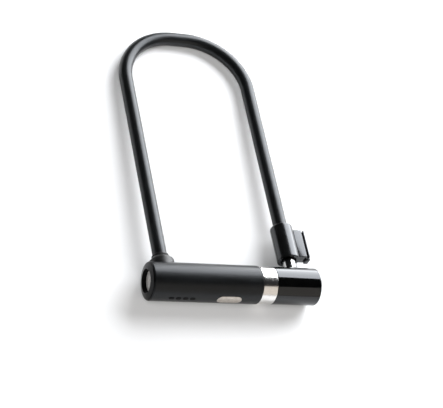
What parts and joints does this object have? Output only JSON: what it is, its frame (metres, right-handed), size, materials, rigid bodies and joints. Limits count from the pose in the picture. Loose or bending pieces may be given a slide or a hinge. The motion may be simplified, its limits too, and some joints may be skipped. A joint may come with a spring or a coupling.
{
  "type": "bicycle u lock",
  "caption": "U lock with a coated round-bar shackle, a tubular crossbar with soft sleeve, steel keyhole ring and glossy head, and a carrier clamp on one leg.",
  "frame": {"origin": "on the crossbar's axis, midway between the two legs", "axes": "+X along the crossbar towards the glossy lock head, +Y along the legs towards the top of the shackle, +Z out of the front; the lock lies on its back"},
  "size_m": [0.1658, 0.3041, 0.0344],
  "materials": {
    "polished_steel": "polished",
    "shackle_coat": "satin black coating",
    "clamp_plastic": "semi-gloss moulded black",
    "soft_rubber": "matte",
    "insert_brass": "machined",
    "dark_screw": "black oxide",
    "tube_steel": "ground",
    "soft_touch_sleeve": "soft-touch satin black",
    "badge_metal": "warm satin",
    "ring_steel": "polished",
    "inner_steel": "machined",
    "gloss_cover": "high gloss black",
    "end_disc_metal": "warm satin",
    "seal_rubber": "matte black",
    "bush_plastic": "moulded",
    "cylinder_brass": "machined",
    "plug_nickel": "nickel plated"
  },
  "bodies": {
    "crossbar": {"crossbar_tube": "tube_steel", "crossbar_sleeve": "soft_touch_sleeve", "sleeve_badge": "badge_metal", "ring_stop_pin": "inner_steel", "lock_head_cover": "gloss_cover", "left_end_bezel": "gloss_cover", "left_end_disc": "end_disc_metal", "left_foot_guide": "inner_steel", "right_foot_guide": "inner_steel", "guide_pins": "inner_steel", "foot_pads": "soft_rubber", "left_foot_seal": "seal_rubber", "right_foot_bush": "bush_plastic", "bar_guides": "bush_plastic", "cylinder_housing": "cylinder_brass", "housing_grub_screws": "dark_screw"},
    "shackle": {"shackle_bar": "polished_steel", "shackle_coating": "shackle_coat", "carrier_clamp_front": "clamp_plastic", "carrier_clamp_back": "clamp_plastic", "clamp_liner": "soft_rubber", "clamp_inserts": "insert_brass", "clamp_screws": "dark_screw"},
    "ring": {"keyhole_ring": "ring_steel"},
    "plug": {"lock_plug": "plug_nickel", "tumbler_discs": "cylinder_brass", "sidebar": "inner_steel", "drive_cam": "inner_steel", "cam_screw": "dark_screw"},
    "left_bolt": {"left_deadbolt": "inner_steel"},
    "right_bolt": {"right_deadbolt": "inner_steel"}
  },
  "joints": [
    {"name": "shackle_pull", "type": "slide", "parent": "crossbar", "child": "shackle", "axis": [0, 1, 0], "range_m": [0, 0.06]},
    {"name": "ring_turn", "type": "hinge", "parent": "crossbar", "child": "ring", "pos_m": [0.0318, 0, 0], "axis": [-1, 0, 0], "range_deg": [0, 60]},
    {"name": "key_turn", "type": "hinge", "parent": "crossbar", "child": "plug", "pos_m": [0.0318, 0, 0], "axis": [0, 0, 1], "range_deg": [0, 90]},
    {"name": "left_bolt_throw", "type": "slide", "parent": "crossbar", "child": "left_bolt", "axis": [-1, 0, 0], "range_m": [0, 0.0041]},
    {"name": "right_bolt_throw", "type": "slide", "parent": "crossbar", "child": "right_bolt", "axis": [1, 0, 0], "range_m": [0, 0.0041]}
  ],
  "couplings": [
    {"joint": "left_bolt_throw", "follows": "key_turn", "m_per_rad": 0.0025465},
    {"joint": "right_bolt_throw", "follows": "key_turn", "m_per_rad": 0.0025465}
  ]
}
